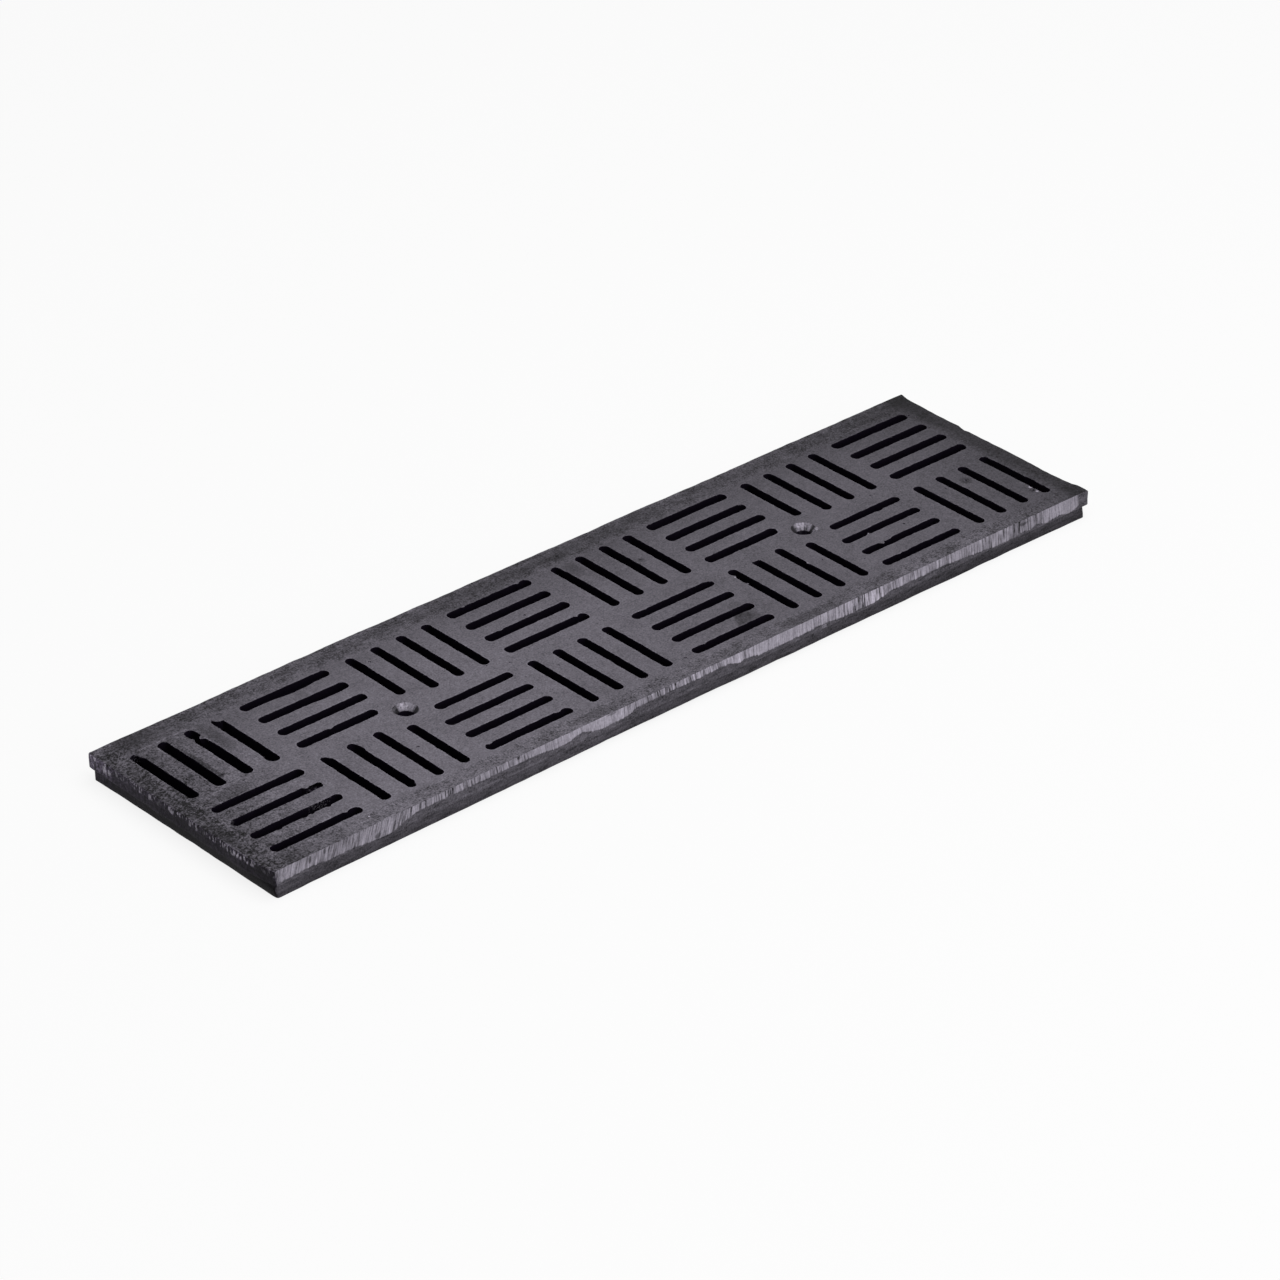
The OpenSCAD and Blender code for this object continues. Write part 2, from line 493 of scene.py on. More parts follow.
def roughenSlots(cutters):
    for vert in cutters.data.vertices:
        place = vert.co / mm
        for size, strength, seed in slotForm["ripples"]:
            vert.co.x += bumps(place, size, seed) * strength * mm
            vert.co.y += bumps(place, size, seed + 20) * strength * mm


def addSlotFaults(cutters):
    faultReach = slotForm["faultReach"]
    for x, y, moveX, moveY, reach in slotFaults:
        size = math.hypot(moveX, moveY)
        unit = (moveX / size, moveY / size)
        for vert in cutters.data.vertices:
            dx = vert.co.x / mm - x
            dy = vert.co.y / mm - y
            if abs(dx) > reach + 2 or abs(dy) > reach + 2:
                continue
            across = abs(dx * unit[0] + dy * unit[1])
            aside = abs(dx * unit[1] - dy * unit[0])
            weight = 1 - smooth(across, faultReach, faultReach + slotForm["faultFade"])
            weight *= 1 - smooth(aside, 0.25 * reach, reach)
            weight *= smooth(vert.co.z / mm, topZ - 7, topZ - 2.5)
            vert.co.x += moveX * weight * mm
            vert.co.y += moveY * weight * mm


def clogSlot(cutters):
    fromX = clog["fromX"]
    for vert in cutters.data.vertices:
        place = vert.co / mm
        depth = topZ - place.z
        if not fromX - 1.5 <= place.x <= fromX + 8 or abs(place.y - clog["y"]) > 4 or depth <= 0:
            continue
        shallow = smooth(place.x, fromX - 1.2, fromX + 0.6)
        keep = clog["depth"] * (1 + clog["rough"] * bumps(Vector((place.x, place.y, 0)), 1.3, 5) * 2)
        vert.co.z = (topZ - depth * (1 - shallow * (1 - keep))) * mm


def fillSlots(cutters):
    plugs = []
    for x, y, radius in fills:
        pickNone()
        bpy.ops.mesh.primitive_cylinder_add(
            vertices=slotForm["endPoints"], radius=radius * mm, depth=9 * mm,
            location=(x * mm, y * mm, topZ * mm), rotation=(0, 0, 0.1),
        )
        plug = bpy.context.object
        settle(plug)
        plugs.append(plug)
    plug = joinAll(plugs, "plugs")
    for vert in plug.data.vertices:
        vert.co.x += bumps(vert.co / mm, 1.1, 21) * 0.5 * mm
        vert.co.y += bumps(vert.co / mm, 1.1, 22) * 0.5 * mm
    cutOrAdd(cutters, plug, "DIFFERENCE")


# Screw holes, pits left by gas and sand, and a few lumps of stray metal

holeForm = {"points": 40, "ragged": 0.24, "raggedSize": 2.2, "sinkDepth": 3.3, "overrun": 0.6}
# x, y and radius of each pit
pits = (
    (-189, -56.7, 1.1), (-138.7, -28.2, 0.9), (-108.8, 42.7, 0.9), (-87.8, -39.1, 0.8), (-71.6, 4.7, 1),
    (-61.6, -0.6, 0.9), (-64.5, -14.8, 0.8), (-46.7, -17.2, 0.8), (-29, 27.3, 0.8), (0.5, -51.2, 1),
    (-18.3, 59.4, 0.9), (108.7, -27.7, 0.8), (124.4, -40.6, 0.8), (169.2, 1.8, 0.9), (161.7, -28.7, 0.9),
    (200.9, -17, 0.9), (213.9, -18, 1.3), (239.6, 48, 1.1), (231.2, -46.6, 1.2), (241.5, 44.5, 0.8),
    (44.9, 29.4, 0.8), (-225.8, 12.8, 0.9), (-217.2, 11.8, 0.9), (226.5, -59.4, 1.2), (223.2, -58.2, 0.9),
    (229.4, -60.6, 0.9), (194, 61, 1.4), (201.5, 61.8, 1.2), (17.7, 57.5, 1.1), (76, 60.5, 0.8),
    (83, 61.5, 0.7), (88.5, 59.5, 0.8), (108.3, 60.8, 0.9),
)
pitDepth = 0.55  # as a share of the radius
# x, y and radius of each lump
lumps = (
    (232.6, -44.3, 0.9), (230.6, -43.2, 0.6), (67.5, -20.8, 0.7), (142.6, -24, 0.4), (-186.9, -21.4, 0.7),
)


def makeScrewCutters():
    cutters = []
    bore = lay["bore"] / 2
    sinkDepth = holeForm["sinkDepth"]
    rise = holeForm["overrun"]
    flare = (lay["sink"] / 2 - bore) / sinkDepth
    share = (lay["sink"] / 2 + rise * flare) / bore
    for side in (-1, 1):
        pickNone()
        bpy.ops.mesh.primitive_cylinder_add(
            vertices=holeForm["points"], radius=bore * mm, depth=(topZ + 1 - sinkDepth) * mm,
            location=(side * screwX * mm, 0, (topZ - 1 - sinkDepth) / 2 * mm),
        )
        cutter = bpy.context.object
        settle(cutter)
        editAll(cutter)
        choose(cutter, "FACE", lambda centre, normal: normal.z > 0.9)
        up = {"value": (0, 0, (sinkDepth + rise) * mm)}
        bpy.ops.mesh.extrude_region_move(TRANSFORM_OT_translate=up)
        bpy.ops.transform.resize(value=(share, share, 1), center_override=(side * screwX * mm, 0, 0))
        leaveEdit()
        cutFlat(cutter, 2, (topZ - sinkDepth * 0.5, topZ - 0.3))
        cutters.append(cutter)
    cutter = joinAll(cutters, "screwCutters")
    for vert in cutter.data.vertices:
        place = vert.co / mm
        vert.co.x += bumps(place, holeForm["raggedSize"], 7) * holeForm["ragged"] * mm
        vert.co.y += bumps(place, holeForm["raggedSize"], 8) * holeForm["ragged"] * mm
    return cutter


def makeSpecks(places, name, height, squash):
    pickNone()
    bpy.ops.mesh.primitive_ico_sphere_add(subdivisions=2, radius=1 * mm)
    speck = bpy.context.object
    bpy.ops.transform.resize(value=(1, 1, squash))
    settle(speck)
    specks = []
    for number, (x, y, radius) in enumerate(places):
        specks.append(copyOf(speck, name, (x, y, topZ + height * radius), 1.1 * number, [radius] * 3))
    bpy.data.objects.remove(speck)
    whole = joinAll(specks, name)
    for vert in whole.data.vertices:
        place = vert.co / mm
        vert.co.x += bumps(place, 0.9, 3) * 0.4 * mm
        vert.co.y += bumps(place, 0.9, 4) * 0.4 * mm
    return whole


# The skin of the casting: crown, borders that fall away, ground near edge and uneven ends

skinForm = {
    "rise": 0.12,  # how far the walking surface is lifted at mid length
    "crown": 0.4,  # how far the walking surface drops from the middle to the ends
    "farFootOut": 1.0,
    # where the borders begin, and how far they fall away
    "fieldX": 241.5,
    "fieldNear": -55.5,
    "fieldFar": 56.5,
    "fallEnds": 0.15,
    "fallFar": 0.12,
    "fallNear": 0.1,
    # size, strength and seed of the unevenness, for the top, the underside, and the ends and sides
    "topWaves": ((28, 0.16, 11), (6, 0.07, 12)),
    "underWave": (9, 0.3, 13),
    "underShift": (8, 0.22, 14),
    "endWaves": ((14, 0.35, 16), (4, 0.25, 17)),
    "sideWaves": ((14, 0.35, 18), (4, 0.2, 19)),
    # how far ends and sides are set back
    "endBack": 0.15,
    "sideBack": 0.1,
}
# how far the right end stands out past its plain line, from the near corner to the far one
rightEnd = (
    (-65, 1.9), (-62, 2.2), (-57, 2.1), (-54, 0.8), (-48, 0.5), (-34, 0.4), (-18, 1.0), (17.5, 1.0),
    (18.5, 0.5), (21, 0.5), (22.5, 1.5), (46, 1.9), (58, 2.3), (65, 4.2),
)
# how far the left end is worn back, at the deck and at the foot
leftDeckIn = ((-65, 2.4), (-61, 1.8), (-54, 0.7), (-46, 0.1), (-40, 0.0))
leftFootIn = (
    (-64, 1.4), (-60, 0.95), (-15, 0.75), (0, 0.6), (15, 0.35), (30, 0.12), (46, 0.2), (57, -0.3),
    (61, -0.45),
)
# how far the near foot stands out, the foot rises and the far side stands out, along the grate
nearFootOut = ((-250, 0.95), (-215, 0.7), (200, 0.7), (250, 1.15))
footRise = (
    (-250, 0.0), (-240, 0.0), (-180, 0.25), (-120, 0.56), (-60, 1.12), (0, 1.1), (60, 0.68), (120, 0.5),
    (180, 0.1), (250, 0.0),
)
farEdge = (
    (-250, 1.8), (-180, 2.0), (-150, 2.3), (-120, 2.7), (-60, 2.3), (0, 1.9), (60, 2.1), (120, 1.9),
    (180, 2.1), (240, 2.4),
)
# how far down the near face the grinder has reached, along the grate
groundBand = {
    "depths": (
        (-250, 6.4), (-238, 6.1), (-227, 5.4), (-219, 6.5), (-203, 6.5), (-191, 8.0), (-184, 8.0),
        (-180, 6.4), (-176, 5.0), (-170, 3.0), (-97, 3.0), (-93, 4.2), (-81, 4.2), (-77, 2.6), (-73, 2.6),
        (-68, 4.6), (-62, 5.4), (-46, 5.2), (-42, 2.6), (15, 2.6), (20, 4.2), (30, 4.3), (33, 5.4),
        (58, 5.5), (72, 5.0), (88, 6.3), (107, 6.4), (118, 4.2), (155, 4.2), (174, 5.7), (190, 7.1),
        (199, 7.0), (207, 6.0), (211, 6.9), (215, 5.7), (218, 5.9), (222, 7.5), (226, 6.7), (229, 6.3),
        (233, 6.6), (237, 7.9), (241, 7.6), (243.5, 6.6), (245.5, 5.2), (250, 4.0),
    ),
    # how far the ground face lies behind the plain side, at its top and at its foot
    "topBack": 0.95,
    "lowBack": 0.15,
}


def wave(p, form):
    size, strength, seed = form
    return strength * bumps(p, size, seed)


def skinMove(p, foot):
    form = skinForm
    upper = smooth(p.z, topZ - 2.5, topZ - 0.2)
    moveX = moveY = 0.0
    # crown, bowed foot, and borders that fall away
    moveZ = (form["rise"] - form["crown"] * (p.x / halfLength) ** 2) * p.z / topZ
    moveZ += along(footRise, p.x) * foot
    moveZ -= form["fallEnds"] * smooth(abs(p.x), form["fieldX"] - 1, form["fieldX"] + 6) * upper
    moveZ -= form["fallFar"] * smooth(p.y, form["fieldFar"] - 1, form["fieldFar"] + 6) * upper
    moveZ -= form["fallNear"] * smooth(-p.y, -form["fieldNear"] - 1, -form["fieldNear"] + 2.5) * upper
    moveZ += sum(wave(p, each) for each in form["topWaves"]) * upper
    # the underside, less near the foot
    below = 1 - smooth(p.z, 2, 6.5)
    inside = smooth(halfWidth - 4 - abs(p.y), 0, 2) * smooth(halfLength - 4 - abs(p.x), 0, 2) * (1 - upper)
    size, strength, seed = form["underShift"]
    moveZ += wave(p, form["underWave"]) * inside * (1 - 0.6 * below)
    moveX += strength * bumps(p, size, seed) * inside
    moveY += strength * bumps(p, size, seed + 1) * inside
    # ends and sides
    endWay = math.copysign(smooth(abs(p.x), halfLength - 6, halfLength - 1.5), p.x)
    sideWay = math.copysign(smooth(abs(p.y), halfWidth - 6, halfWidth - 1.5), p.y)
    moveX += endWay * (sum(wave(p, each) for each in form["endWaves"]) - form["endBack"])
    moveY += sideWay * (sum(wave(p, each) for each in form["sideWaves"]) - form["sideBack"])
    if p.x > 0:
        moveX += along(rightEnd, p.y) * smooth(p.x, halfLength - 12, halfLength - 3)
    else:
        leftWay = smooth(-p.x, halfLength - 7, halfLength - 3)
        moveX += along(leftFootIn, p.y) * foot * leftWay
        moveX += along(leftDeckIn, p.y) * smooth(p.z, skirtHeight - 1, skirtHeight) * leftWay
    if p.y > 0:
        farWay = smooth(p.y, halfWidth - 12, halfWidth - 3)
        lowWay = 1 - smooth(p.z, skirtHeight - 2, skirtHeight)
        moveY += (along(farEdge, p.x) + form["farFootOut"] * lowWay) * farWay
    else:
        moveY -= along(nearFootOut, p.x) * foot * smooth(-p.y, halfWidth - 6, halfWidth - 3)
    return moveX, moveY, moveZ


def shapeSkin(piece):
    for vert in piece.data.vertices:
        p = vert.co / mm
        moveX, moveY, moveZ = skinMove(p, max(0, 1 - p.z / skirtHeight))
        vert.co = Vector((p.x + moveX, p.y + moveY, p.z + moveZ)) * mm
        # the grinder leaves a flat, slightly leaning face
        depth = along(groundBand["depths"], p.x)
        bottom = topZ - depth
        if p.y < -halfWidth + 5 and p.z > bottom - 0.3:
            lean = (p.z - bottom) / depth
            back = groundBand["lowBack"] + (groundBand["topBack"] - groundBand["lowBack"]) * lean
            vert.co.y = max(vert.co.y, (-halfWidth + back) * mm)


def makeGrate():
    grate = makeDeck()
    print("deck blank:", len(grate.data.polygons), "faces")
    addSkirt(grate)
    cutPockets(grate)
    addBosses(grate)
    print("with skirt, ribs and bosses:", len(grate.data.polygons), "faces")
    cutOrAdd(grate, makeSpecks(pits, "pits", 1 - pitDepth, 1.0), "DIFFERENCE")
    cutters = placeSlotCutters()
    roughenSlots(cutters)
    addSlotFaults(cutters)
    clogSlot(cutters)
    fillSlots(cutters)
    cutOrAdd(grate, cutters, "DIFFERENCE")
    cutOrAdd(grate, makeScrewCutters(), "DIFFERENCE")
    cutOrAdd(grate, makeSpecks(lumps, "lumps", -0.45, 0.7), "UNION")
    print("slots, holes and pits cut:", len(grate.data.polygons), "faces")
    shapeSkin(grate)
    grate.name = "castGrate"
    pick(grate)
    bpy.ops.object.shade_smooth_by_angle(angle=math.radians(40))
    return grate


# Materials: one class wraps a socket, so that masks and tones are written as sums

class Wire:
    def __init__(self, tree, socket):
        self.tree = tree
        self.socket = socket

    def node(self, kind, settings=None, sockets=None, output=0):
        node = self.tree.nodes.new("ShaderNode" + kind)
        for key, value in (settings or {}).items():
            if key == "points":
                self.setCurve(node.mapping, value)
            else:
                setattr(node, key, value)
        for key, value in (sockets or {}).items():
            if isinstance(value, Wire):
                self.tree.links.new(value.socket, node.inputs[key])
            else:
                node.inputs[key].default_value = value
        return Wire(self.tree, node.outputs[output]) if len(node.outputs) else None

    def setCurve(self, mapping, points):
        # the first two points are the curve's own ends
        curve = mapping.curves[0]
        for number, point in enumerate(points):
            if number < 2:
                curve.points[number].location = point
            else:
                curve.points.new(*point)
        for point in curve.points:
            point.handle_type = "VECTOR"
        mapping.update()

    def parts(self):
        return [self.node("SeparateXYZ", {}, {0: self}, axis) for axis in range(3)]

    def math(self, operation, first, second):
        return self.node("Math", {"operation": operation}, {0: first, 1: second})

    def __add__(self, other):
        return self.math("ADD", self, other)

    __radd__ = __add__

    def __mul__(self, other):
        return self.math("MULTIPLY", self, other)

    __rmul__ = __mul__

    def __sub__(self, other):
        return self.math("SUBTRACT", self, other)

    def __rsub__(self, other):
        return self.math("SUBTRACT", other, self)

    def __neg__(self):
        return self.math("MULTIPLY", self, -1)

    def __truediv__(self, other):
        return self.math("DIVIDE", self, other)

    def __abs__(self):
        return self.math("ABSOLUTE", self, 0)

    def most(self, other):
        return self.math("MAXIMUM", self, other)

    def rises(self, start, end):
        # 0 before start, 1 after end, soft between
        sockets = {"Value": self, "From Min": start, "From Max": end}
        return self.node("MapRange", {"interpolation_type": "SMOOTHSTEP"}, sockets)

    def falls(self, start, end):
        return 1 - self.rises(start, end)

    def towards(self, other, share):
        return self.node("Mix", {"data_type": "FLOAT"}, {0: share, 2: self, 3: other})

    def grain(self, size, seed, detail=2.0, roughness=0.5, stretch=(1, 1, 1)):
        # noise about 0, at a size in millimetres
        scale = [1 / (size * mm * part) for part in stretch]
        shift = [seed * 7.3] * 3
        spread = self.node("VectorMath", {"operation": "MULTIPLY_ADD"}, {0: self, 1: scale, 2: shift})
        sockets = {"Vector": spread, "Scale": 1.0, "Detail": detail, "Roughness": roughness}
        return self.node("TexNoise", {}, sockets) - 0.5


def newMaterial(name):
    material = bpy.data.materials.new(name)
    material.use_nodes = True
    material.node_tree.nodes.clear()
    return material, Wire(material.node_tree, None)


def lightness(level):
    # the linear value of an sRGB level from 0 to 255
    share = level / 255
    return share / 12.92 if share <= 0.04045 else ((share + 0.055) / 1.055) ** 2.4


ironTones = {
    "tint": (1.0, 0.93, 1.1),
    "darkEndTint": (1.07, 0.92, 1.28),
    # near-black colour of the painted shade in the slots, pits and bores
    "depths": (0.0085, 0.0062, 0.0118),
    # sRGB level of the walking surface along the grate
    "alongField": (
        (-250, 60), (-245, 62), (-241, 72), (-234, 79), (-226, 86), (-212, 97), (-198, 105), (-160, 109),
        (-60, 108), (0, 102), (40, 96), (130, 94), (185, 92), (199, 87), (214, 84), (228, 79), (238, 74),
        (240, 64), (242, 54), (244.5, 43), (250, 45),
    ),
    # share that is left of it across the grate
    "acrossField": (
        (-66, 0.8), (-57, 0.78), (-54.5, 1.0), (15, 1.0), (38, 0.88), (52, 0.74), (57, 0.5), (61, 0.46),
        (66, 0.58),
    ),
    # sRGB level of the outer faces, from the foot up
    "upFace": ((0, 70), (2, 75), (4.5, 88), (6.5, 98), (8, 99), (9.5, 94), (15, 92)),
    # shares of it: along the grate, and from near to far on the left end, which is darker with painted
    # shade
    "alongSide": (
        (-250, 1.0), (-222, 0.9), (-200, 1.05), (-110, 1.1), (-87, 1.2), (-60, 1.25), (-40, 1.0), (0, 0.88),
        (48, 1.0), (80, 0.95), (135, 0.93), (170, 0.87), (205, 1.0), (230, 1.1), (250, 1.0),
    ),
    "leftEndShade": (
        (-66, 0.16), (-58, 0.14), (-50, 0.2), (-38, 0.3), (-15, 0.22), (10, 0.24), (30, 0.36), (45, 0.45),
        (52, 0.85), (60, 1.4), (66, 1.4),
    ),
    # how strong the bright ticks are along the upper part of the left end
    "leftTicks": (
        (-66, 0.3), (-60, 0.15), (-53, 0.3), (-51, 0.9), (-35, 1.0), (-33, 0.4), (-31, 0.9), (-24, 0.9),
        (-22, 0.5), (-17, 0.1), (-12, 0.8), (-7, 0.8), (10, 0.9), (12, 0.1), (15, 0.2), (17, 0.8),
        (35, 0.7), (37, 0.3), (47, 0.3), (50, 0.7), (66, 0.7),
    ),
    # how strong the grinder's strokes are along the near side
    "strokes": (
        (-250, 0.6), (-240, 0.7), (-222, 1.15), (-200, 0.8), (-172, 1.1), (-145, 1.3), (-110, 1.0),
        (-92, 0.6), (-60, 0.55), (-45, 0.8), (-25, 1.5), (0, 1.2), (30, 0.6), (48, 0.45), (80, 0.7),
        (102, 1.5), (120, 0.9), (170, 0.8), (205, 1.4), (222, 0.6), (232, 0.4), (243, 0.5), (250, 1.0),
    ),
    # sRGB level of the ground band along the grate
    "ground": (
        (-250, 128), (-238, 133), (-222, 112), (-205, 127), (-180, 130), (-145, 118), (-110, 128),
        (-87, 140), (-60, 150), (-48, 148), (-40, 115), (-25, 118), (0, 128), (20, 143), (80, 143),
        (100, 142), (135, 130), (188, 126), (205, 104), (215, 122), (230, 140), (243, 134), (250, 112),
    ),
    "groundGain": 1.27,
    "sink": 132,
}
# stains and other marks on the walking surface, one of them painted shadow: x, y, half sizes, turn in
# degrees and strength, lighter where negative
stains = (
    (-200, 39, 3.6, 13, 0, 0.45), (16, 44, 4, 6, 0, 0.35), (44.9, 29.4, 2, 2, 0, 0.4),
    (17.7, 57.5, 5, 2.5, 0, 0.4), (213.9, -18, 3, 3, 0, 0.65), (-217.2, 11.8, 2, 1.6, 0, 0.6),
    # the mark at 231, -46.5 is painted shadow beside the chip of metal there; the one at -218, 26 darkens a
    # strip along a slot's right edge
    (231, -46.5, 1.6, 1.2, 0, 0.7), (-218, 26, 1.5, 15, 0, 0.65), (-232, 61.5, 14, 4.5, 4, 0.35),
    (-222, -2, 9, 5, 0, 0.3), (-246.5, -27, 3.5, 13, 0, 0.4), (-62, -60, 14, 3, 0, 0.3),
    (66, -60, 16, 3, 0, 0.3), (118, -59, 12, 3, 0, 0.2), (-150, 39, 3, 12, 0, 0.15),
    (0, 60.5, 110, 7, 0, 0.17), (165, -60.5, 60, 6, 0, -0.17),
)
# strength of a patch with straight edges, and a place and the way out for each edge
patches = (
    (0.45, ((41.3, -38.4, 154), (53.2, -38.0, 0), (49.0, -37.4, 90), (46.0, -47.2, -90))),
    (0.22, ((43.0, -35.0, 154), (53.2, -33.0, 0), (48.0, -28.8, 98), (49.0, -37.4, -90))),
)
# from x, y to x, y: half width and strength of light scratches
scratches = (
    (-92.6, -24.9, -82.1, -30.1, 0.3, 0.3), (-49.3, 5.6, -42.2, 2, 0.25, 0.2),
    (-225.2, 42, -225.2, 48.6, 0.3, 0.6), (-236, 52.6, -205, 52.6, 0.4, 0.55),
    (-249.3, -58, -249.3, -30, 0.3, 0.6), (-190, -63.6, -180, -63.6, 0.3, 0.5),
)
# painted glints on burrs and chips of bare metal: x, y and reach
glints = (
    (232.6, -43.6, 1), (232.2, -48.6, 0.8), (233.6, -46.4, 0.5), (68.5, -20.8, 0.5), (67, -12.4, 0.4),
    (142.4, -24.2, 0.35), (101.8, -25.1, 0.4), (-11.3, 10.4, 0.6), (-190.4, -57.4, 0.5),
)
# bright burrs on the rims of the screw holes: x, y, reach and sRGB level
burrs = ((126.6, -3.6, 1.9, 142),)
# specks of metal left inside the slots: x, y and half sizes
leftovers = (
    (-192.2, -22, 4.4, 3.4), (-199, -34.9, 9, 1.5), (-236.4, -22, 2.4, 2.4),
    (-236, 50, 2.8, 2.4),
)
# spots on the near side: x, z, half sizes and strength, lighter where it is negative
sideSpots = (
    (206.5, 12.7, 4.2, 0.9, 0.55), (75, 8.6, 1.6, 1, -1.2), (69.2, 5, 1, 0.9, 0.6),
    (99.7, 13.4, 0.6, 1.8, 0.5), (-110.8, 14.6, 0.8, 1, 0.8), (-246.6, 12.2, 0.9, 2, 0.6),
    (-228.8, 12.6, 0.7, 1.8, 0.6), (-220.6, 13.2, 0.8, 1.2, 0.5), (-191.6, 8.8, 1.8, 1.2, 0.5),
    (193, 11.5, 4, 2, 0.25), (-56, 14.4, 2.5, 0.6, 0.5), (-222, 8.5, 9, 2.2, 0.2),
    (-90, 8, 8, 2, 0.15),
)


def curveOf(wire, points, top):
    # a curve through given points, with both axes scaled into 0 to 1
    start = points[0][0]
    width = points[-1][0] - start
    spots = [((at - start) / width, value / top) for at, value in points]
    spots = [spots[0], spots[-1]] + spots[1:-1]
    return wire.node("FloatCurve", {"points": spots}, {"Value": (wire - start) / width}) * top


def levelsOf(points):
    return [(at, lightness(level)) for at, level in points]


def addMarks(value, x, y, ragged):
    for stainX, stainY, halfX, halfY, turn, strength in stains:
        angle = math.radians(turn)
        across = (x - stainX) * (math.cos(angle) / halfX) + (y - stainY) * (math.sin(angle) / halfX)
        upward = (y - stainY) * (math.cos(angle) / halfY) - (x - stainX) * (math.sin(angle) / halfY)
        reach = across * across + upward * upward + ragged * 5.0
        value = value * (1 - reach.falls(0.2, 1.7) * strength * (1 + ragged * 6))
    for strength, edges in patches:
        inside = 1
        for atX, atY, turn in edges:
            angle = math.radians(turn)
            out = (x - atX) * math.cos(angle) + (y - atY) * math.sin(angle) + ragged * 3
            inside = inside * out.falls(-1.2, 0.7)
        value = value * (1 - inside * strength * (1 + ragged * 6))
    for fromX, fromY, toX, toY, half, strength in scratches:
        length = math.hypot(toX - fromX, toY - fromY)
        unitX = (toX - fromX) / length
        unitY = (toY - fromY) / length
        ahead = (x - (fromX + toX) / 2) * unitX + (y - (fromY + toY) / 2) * unitY
        aside = (y - fromY) * unitX - (x - fromX) * unitY + ragged * 0.8
        line = abs(aside).falls(half * 0.4, half + 0.3) * abs(ahead).falls(length / 2 - 0.6, length / 2)
        value = value * (1 + line * strength)
    return value


# size in millimetres, seed, detail and roughness of the grains that all tones share
grains = {
    "fine": (0.9, 1, 2.0, 0.7),
    "speckle": (1.9, 2, 3.0, 0.7),
    "cloud": (9.0, 3, 3.0, 0.6),
    "broad": (45.0, 4, 2.0, 0.5),
}


class Surface:
    # where a point lies on the casting, in millimetres, and what the tones share there
    def __init__(self, wire):
        self.place = wire.node("TexCoord", {}, {}, 3)
        self.x, self.y, self.z = (part * 1000 for part in self.place.parts())
        self.normalX, self.normalY, self.normalZ = wire.node("TexCoord", {}, {}, 1).parts()
        self.facingUp = wire.node("NewGeometry", {}, {}, 3).parts()[2]
        for name, settings in grains.items():
            setattr(self, name, self.place.grain(*settings))
        x, y, z = self.x, self.y, self.z
        self.crowned = z + x * x * (skinForm["crown"] / halfLength ** 2) - skinForm["rise"]
        self.isTop = self.normalZ.rises(0.55, 0.85) * z.rises(topZ - 2.2, topZ - 1.2)
        self.isFlat = self.facingUp.rises(0.6, 0.75) * self.crowned.rises(topZ - 1.6, topZ - 0.8)
        self.isNear = (-self.normalY).rises(0.3, 0.6)
        self.isLeft = (-self.normalX).rises(0.4, 0.8) * (-x).rises(halfLength - 5, halfLength - 3)
        self.inField = abs(x).falls(skinForm["fieldX"], skinForm["fieldX"] + 2) * abs(y).falls(54, 56)
        # pitted left end and borders
        self.farWay = y.rises(50, 57)
        border = (self.farWay * 0.7).most((-y).rises(54.5, 56.5) * 0.5).most(x.rises(236, 243) * 0.5)
        self.mottle = (self.cloud * 40 - x).rises(185, 245).most(border)
        # distance out from the screw hole on this half
        self.fromHole = abs(x) - screwX
        flatPlace = self.place.node("CombineXYZ", {}, {0: self.fromHole, 1: y, 2: 0.0})
        self.outHole = self.place.node("VectorMath", {"operation": "LENGTH"}, {0: flatPlace}, 1)


def walkingTone(at):
    x, y, mottle = at.x, at.y, at.mottle
    level = curveOf(x, levelsOf(ironTones["alongField"]), 0.2)
    share = curveOf(y + at.cloud * y.rises(0, 30) * 3, ironTones["acrossField"], 1)
    share = share.most((-x).rises(214, 247) * 1.1)
    grainy = at.fine * (1.9 + mottle * 3.4) + at.speckle * (1.0 + mottle * 2.4)
    grainy = (grainy + at.cloud * (0.5 + mottle * 1.9)) * (1 + (-x).rises(236, 243) * 0.6)
    rubbed = at.place.grain(2.0, 14, 2.0, 0.6, (5, 1, 1)) * at.farWay * 1.2
    pocks = at.place.grain(1.6, 8, 1.0, 0.5).rises(0.13, 0.24) * (0.16 + mottle * 0.5)
    tone = level * share * (1 + mottle * 0.08 + grainy + rubbed + at.broad * 0.4) * (1 - pocks)
    return addMarks(tone, x, y, at.speckle * 0.7 + at.cloud * 0.5)


def outerTone(at):
    # sides, skirt and underside
    dragged = at.place.grain(1.6, 5, 3.0, 0.65, (5, 1, 1))
    tone = curveOf(at.z, levelsOf(ironTones["upFace"]), 0.3) * curveOf(at.x, ironTones["alongSide"], 2)
    tone = tone * (1 - at.x.rises(40, 230) * at.z.falls(2, 9) * 0.35)
    return tone * (1 + at.fine * 2.6 + dragged * 2.4 + at.cloud * 0.8 + at.broad * 0.4)


def paintedLeftEndShade(at):
    # painted shade: the left end is darker, and darker still on its lower part under the deck, with bright
    # ticks along its upper part; also gives where these are
    y, z = at.y, at.z
    squeezed = at.place.node("CombineXYZ", {}, {0: 0.0, 1: y * mm, 2: z * (mm * 0.35)})
    ticks = squeezed.grain(1.5, 9, 1.0, 0.6)
    corner = y.rises(47, 53)
    highUp = (z + at.cloud * 3 + corner * 2.2).rises(10.9, 12.0) * (1 - z.rises(13.9, 14.5) * 0.8)
    share = curveOf(y + at.cloud * 4, ironTones["leftEndShade"], 2) * (0.72 + highUp * 0.4)
    share = share * (1 + ticks * (1.5 + corner * 2.0) + at.speckle * 2.5 + at.fine * 2.0)
    share = share + ticks.rises(0.03, 0.11) * highUp * curveOf(y, ironTones["leftTicks"], 1) * 3.8
    share = share * (1 - z.falls(6.5, 8.0) * 0.65)
    return share.most(0.04), ticks.rises(0.0, 0.1) * highUp


